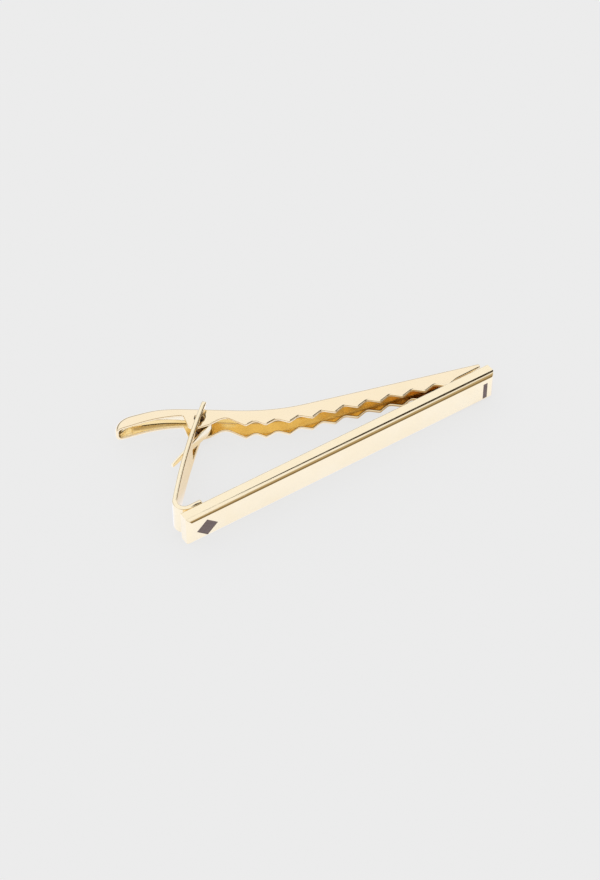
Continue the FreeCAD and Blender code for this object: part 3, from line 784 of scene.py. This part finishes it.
# Light: an even white tent. The gold mirrors its cloth, its darker seams and the gap overhead,
# set out by the angle from the back horizon (0) over the top (90) to the front horizon (180).
CLOTH = (1.02, 1.08, 1.25)
HEM = (0.34, 0.36, 0.40)
SEAM = (0.50, 0.42, 0.29)
BROWN = (0.36, 0.26, 0.13)
UMBER = (0.21, 0.165, 0.105)
DARK = (0.05, 0.038, 0.022)
SKY = ((0, HEM), (14, HEM), (26, CLOTH), (180, CLOTH))
FRONT = ((110, SEAM), (148, SEAM), (156, BROWN), (164, UMBER), (174, UMBER), (180, BROWN))
FRONT_SOFT = 3.0
# For FRONT_EDGE and GAP_HALF: how far to the right a ray goes, and the angle there in degrees.
FRONT_EDGE = (
    (0, 137), (0.25, 137), (0.31, 148), (0.335, 146), (0.356, 139),
    (0.38, 137), (0.44, 137), (0.50, 126), (0.56, 126), (0.66, 160), (0.75, 172),
)
SIDE_FROM, SIDE_TO = 0.90, 0.95
GAP_MIDDLE = 90.0
GAP_SOFT = 3.0
GAP_HALF = (
    (0.34, -5), (0.365, 20), (0.41, 30), (0.45, 35), (0.48, 30),
    (0.54, 27), (0.60, 22), (0.92, 22), (0.96, -5),
)
HALF_TURN, FULL_TURN = 180, 360
world = bpy.data.worlds.new("tent")
bpy.context.scene.world = world
world.use_nodes = True
tree = world.node_tree
even_light = tree.nodes["Background"]
even_light.inputs["Color"].default_value = (1, 1, 1, 1)
even_light.inputs["Strength"].default_value = 1.0
way = add_node(tree, "ShaderNodeTexCoord")
split = add_node(tree, "ShaderNodeSeparateXYZ")
tree.links.new(way.outputs["Generated"], split.inputs["Vector"])
climb = add_node(tree, "ShaderNodeMath", {"operation": "ARCTAN2"})
tree.links.new(split.outputs["Z"], climb.inputs[0])
tree.links.new(split.outputs["Y"], climb.inputs[1])
share = add_node(tree, "ShaderNodeMath", {"operation": "DIVIDE"})
share.inputs[1].default_value = math.pi
tree.links.new(climb.outputs["Value"], share.inputs[0])


def by_angle(stops):
    """A soft ramp over a ray's climb, with a colour at each angle in degrees."""
    node = add_node(tree, "ShaderNodeValToRGB")
    tree.links.new(share.outputs["Value"], node.inputs["Fac"])
    ramp = node.color_ramp
    ramp.interpolation = "EASE"
    ramp.elements.remove(ramp.elements[1])
    for index, (degrees, colour) in enumerate(stops):
        place = degrees / HALF_TURN
        stop = ramp.elements[0] if index == 0 else ramp.elements.new(place)
        stop.position = place
        stop.color = (*colour, 1)
    return node.outputs["Color"]


def maths(operation, first, second=None):
    """The result of a maths node on one or two sockets or numbers."""
    node = add_node(tree, "ShaderNodeMath", {"operation": operation})
    for socket, value in zip(node.inputs, (first, second)):
        if isinstance(value, (int, float)):
            socket.default_value = value
        elif value:
            tree.links.new(value, socket)
    return node.outputs["Value"]


def by_side(stops):
    """A curve over how far to the right a ray goes, which gives an angle in degrees."""
    curve = add_node(tree, "ShaderNodeFloatCurve")
    points = curve.mapping.curves[0].points
    for index, (place, degrees) in enumerate(stops):
        point = points[index] if index < 2 else points.new(0, 0)
        point.location = (place, degrees / FULL_TURN + 0.5)
        point.handle_type = "VECTOR"
    curve.mapping.extend = "HORIZONTAL"
    curve.mapping.update()
    tree.links.new(split.outputs["X"], curve.inputs["Value"])
    return maths("MULTIPLY", maths("SUBTRACT", curve.outputs["Value"], 0.5), FULL_TURN)


def covered(under, over, factor):
    """One colour laid over another by this factor."""
    node = add_node(tree, "ShaderNodeMix", {"data_type": "RGBA"})
    tree.links.new(factor, node.inputs["Factor"])
    tree.links.new(under, node.inputs["A"])
    if isinstance(over, tuple):
        node.inputs["B"].default_value = (*over, 1)
    else:
        tree.links.new(over, node.inputs["B"])
    return node.outputs["Result"]


angle = maths("DEGREES", climb.outputs["Value"])
past_edge = maths("SUBTRACT", angle, by_side(FRONT_EDGE))
front = spread(tree, past_edge, 0, 1, -FRONT_SOFT, FRONT_SOFT)
from_gap = maths("ABSOLUTE", maths("SUBTRACT", angle, GAP_MIDDLE))
gap = spread(tree, maths("SUBTRACT", by_side(GAP_HALF), from_gap), 0, 1, -GAP_SOFT, GAP_SOFT)
side = spread(tree, split.outputs["X"], 0, 1, SIDE_FROM, SIDE_TO)
tent = covered(covered(covered(by_angle(SKY), by_angle(FRONT), front), DARK, gap), BROWN, side)
in_gold = add_node(tree, "ShaderNodeBackground", Strength=1.0)
tree.links.new(tent, in_gold.inputs["Color"])
ray = add_node(tree, "ShaderNodeLightPath")
both = add_node(tree, "ShaderNodeMixShader")
tree.links.new(ray.outputs["Is Glossy Ray"], both.inputs["Fac"])
tree.links.new(even_light.outputs["Background"], both.inputs[1])
tree.links.new(in_gold.outputs["Background"], both.inputs[2])
tree.links.new(both.outputs["Shader"], tree.nodes["World Output"].inputs["Surface"])
bpy.context.scene.view_settings.view_transform = "Standard"

# Camera: the photograph's view, from the front left and above. A long lens well back keeps the bar's
# far end nearly as tall as its near end.
CAMERA_PLACE = Vector((-0.14471, -0.21564, 0.26459))
CAMERA_AZIMUTH = math.radians(-33.84)
CAMERA_DOWN = math.radians(46)
FOCAL_LENGTH, SENSOR_WIDTH, NEAREST = 100, 36, 0.01
lens = bpy.data.cameras.new("camera")
lens.lens = FOCAL_LENGTH
lens.sensor_width = SENSOR_WIDTH
lens.clip_start = NEAREST
camera = bpy.data.objects.new("camera", lens)
bpy.context.scene.collection.objects.link(camera)
camera.location = CAMERA_PLACE
camera.rotation_euler = (math.radians(90) - CAMERA_DOWN, 0, CAMERA_AZIMUTH)
bpy.context.scene.camera = camera
